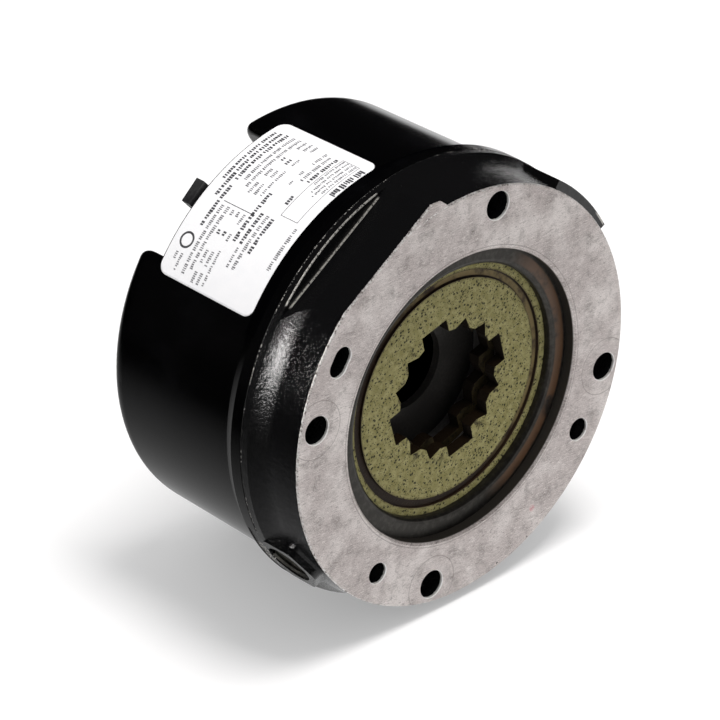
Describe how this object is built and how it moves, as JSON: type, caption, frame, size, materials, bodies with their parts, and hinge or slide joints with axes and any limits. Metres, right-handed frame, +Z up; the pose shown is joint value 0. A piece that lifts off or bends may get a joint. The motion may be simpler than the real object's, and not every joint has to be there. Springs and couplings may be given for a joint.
{
  "type": "motor brake",
  "caption": "Spring-set disc brake for the end of a flange motor: round endplate, toothed friction discs and a deep black cover with a release lever in a rear channel.",
  "frame": {"origin": "centre of the mounting face, on the shaft axis", "axes": "+X right and +Z up seen from the front as the picture shows it lying on its side; the mounting face looks towards -Y and the body reaches to +Y"},
  "size_m": [0.1726, 0.1067, 0.1726],
  "materials": {
    "black_paint": "satin-gloss black paint",
    "black_steel": "black painted steel",
    "bright_steel": "zinc plated steel",
    "bush_brass": "turned brass",
    "cast_iron": "cast lever",
    "cast_plate": "machined cast aluminium face, black paint on the sides",
    "coil": "varnished winding on a moulded bobbin",
    "dark_plate": "dark coated steel",
    "friction": "moulded olive friction material with dark flecks",
    "gasket": "thin black gasket",
    "label": "white sticker with plain grey bars",
    "lamination": "stacked electrical sheet",
    "plate_steel": "ground steel",
    "ring_steel": "dark turned steel",
    "spring_steel": "oiled spring wire"
  },
  "bodies": {
    "housing": {"bracket_screws": "bright_steel", "cover": "black_paint", "cover_gasket": "gasket", "cover_screws": "bright_steel", "endplate": "cast_plate", "label": "label", "pivot_brackets": "dark_plate", "pivot_pins": "bright_steel", "pivot_screws": "bright_steel", "release_bush": "bush_brass", "solenoid_bracket": "dark_plate", "solenoid_coil": "coil", "solenoid_frame": "lamination", "solenoid_screws": "bright_steel", "spring_cups": "bright_steel", "stationary_disc": "plate_steel", "support_plate": "dark_plate", "support_screws": "bright_steel", "wear_ring": "ring_steel"},
    "front_disc": {"front_friction_disc": "friction"},
    "rear_disc": {"rear_friction_disc": "friction"},
    "clamp": {"pressure_plate": "plate_steel", "pull_studs": "bright_steel", "pressure_springs": "spring_steel"},
    "yoke": {"release_yoke": "cast_iron", "plunger_pin": "bright_steel"},
    "core": {"plunger": "lamination"},
    "manual_release": {"release_shaft": "bright_steel", "release_lever": "black_steel", "release_nut": "bright_steel"}
  },
  "joints": [
    {"name": "front_disc_spin", "type": "hinge", "parent": "housing", "child": "front_disc", "pos_m": [0, 0.0108, 0], "axis": [0, 1, 0], "continuous": true},
    {"name": "rear_disc_spin", "type": "hinge", "parent": "housing", "child": "rear_disc", "pos_m": [0, 0.019, 0], "axis": [0, 1, 0], "continuous": true},
    {"name": "plunger_slide", "type": "slide", "parent": "housing", "child": "core", "axis": [0, 0, -1], "range_m": [0, 0.008], "stiffness_N_per_m": 400, "springref_m": -0.02},
    {"name": "yoke_turn", "type": "hinge", "parent": "housing", "child": "yoke", "pos_m": [0, 0.044, -0.0039], "axis": [1, 0, 0], "range_deg": [-17.8, 0]},
    {"name": "clamp_slide", "type": "slide", "parent": "housing", "child": "clamp", "axis": [0, 1, 0], "range_m": [0, 0.0012], "deforming": ["pressure_springs"]},
    {"name": "release_turn", "type": "hinge", "parent": "housing", "child": "manual_release", "pos_m": [0, 0.09, 0.012], "axis": [0, 1, 0], "range_deg": [0, 18]}
  ],
  "couplings": [
    {"joint": "yoke_turn", "follows": "plunger_slide", "rad_per_m": -38.75},
    {"joint": "clamp_slide", "follows": "plunger_slide", "ratio": 0.15}
  ]
}
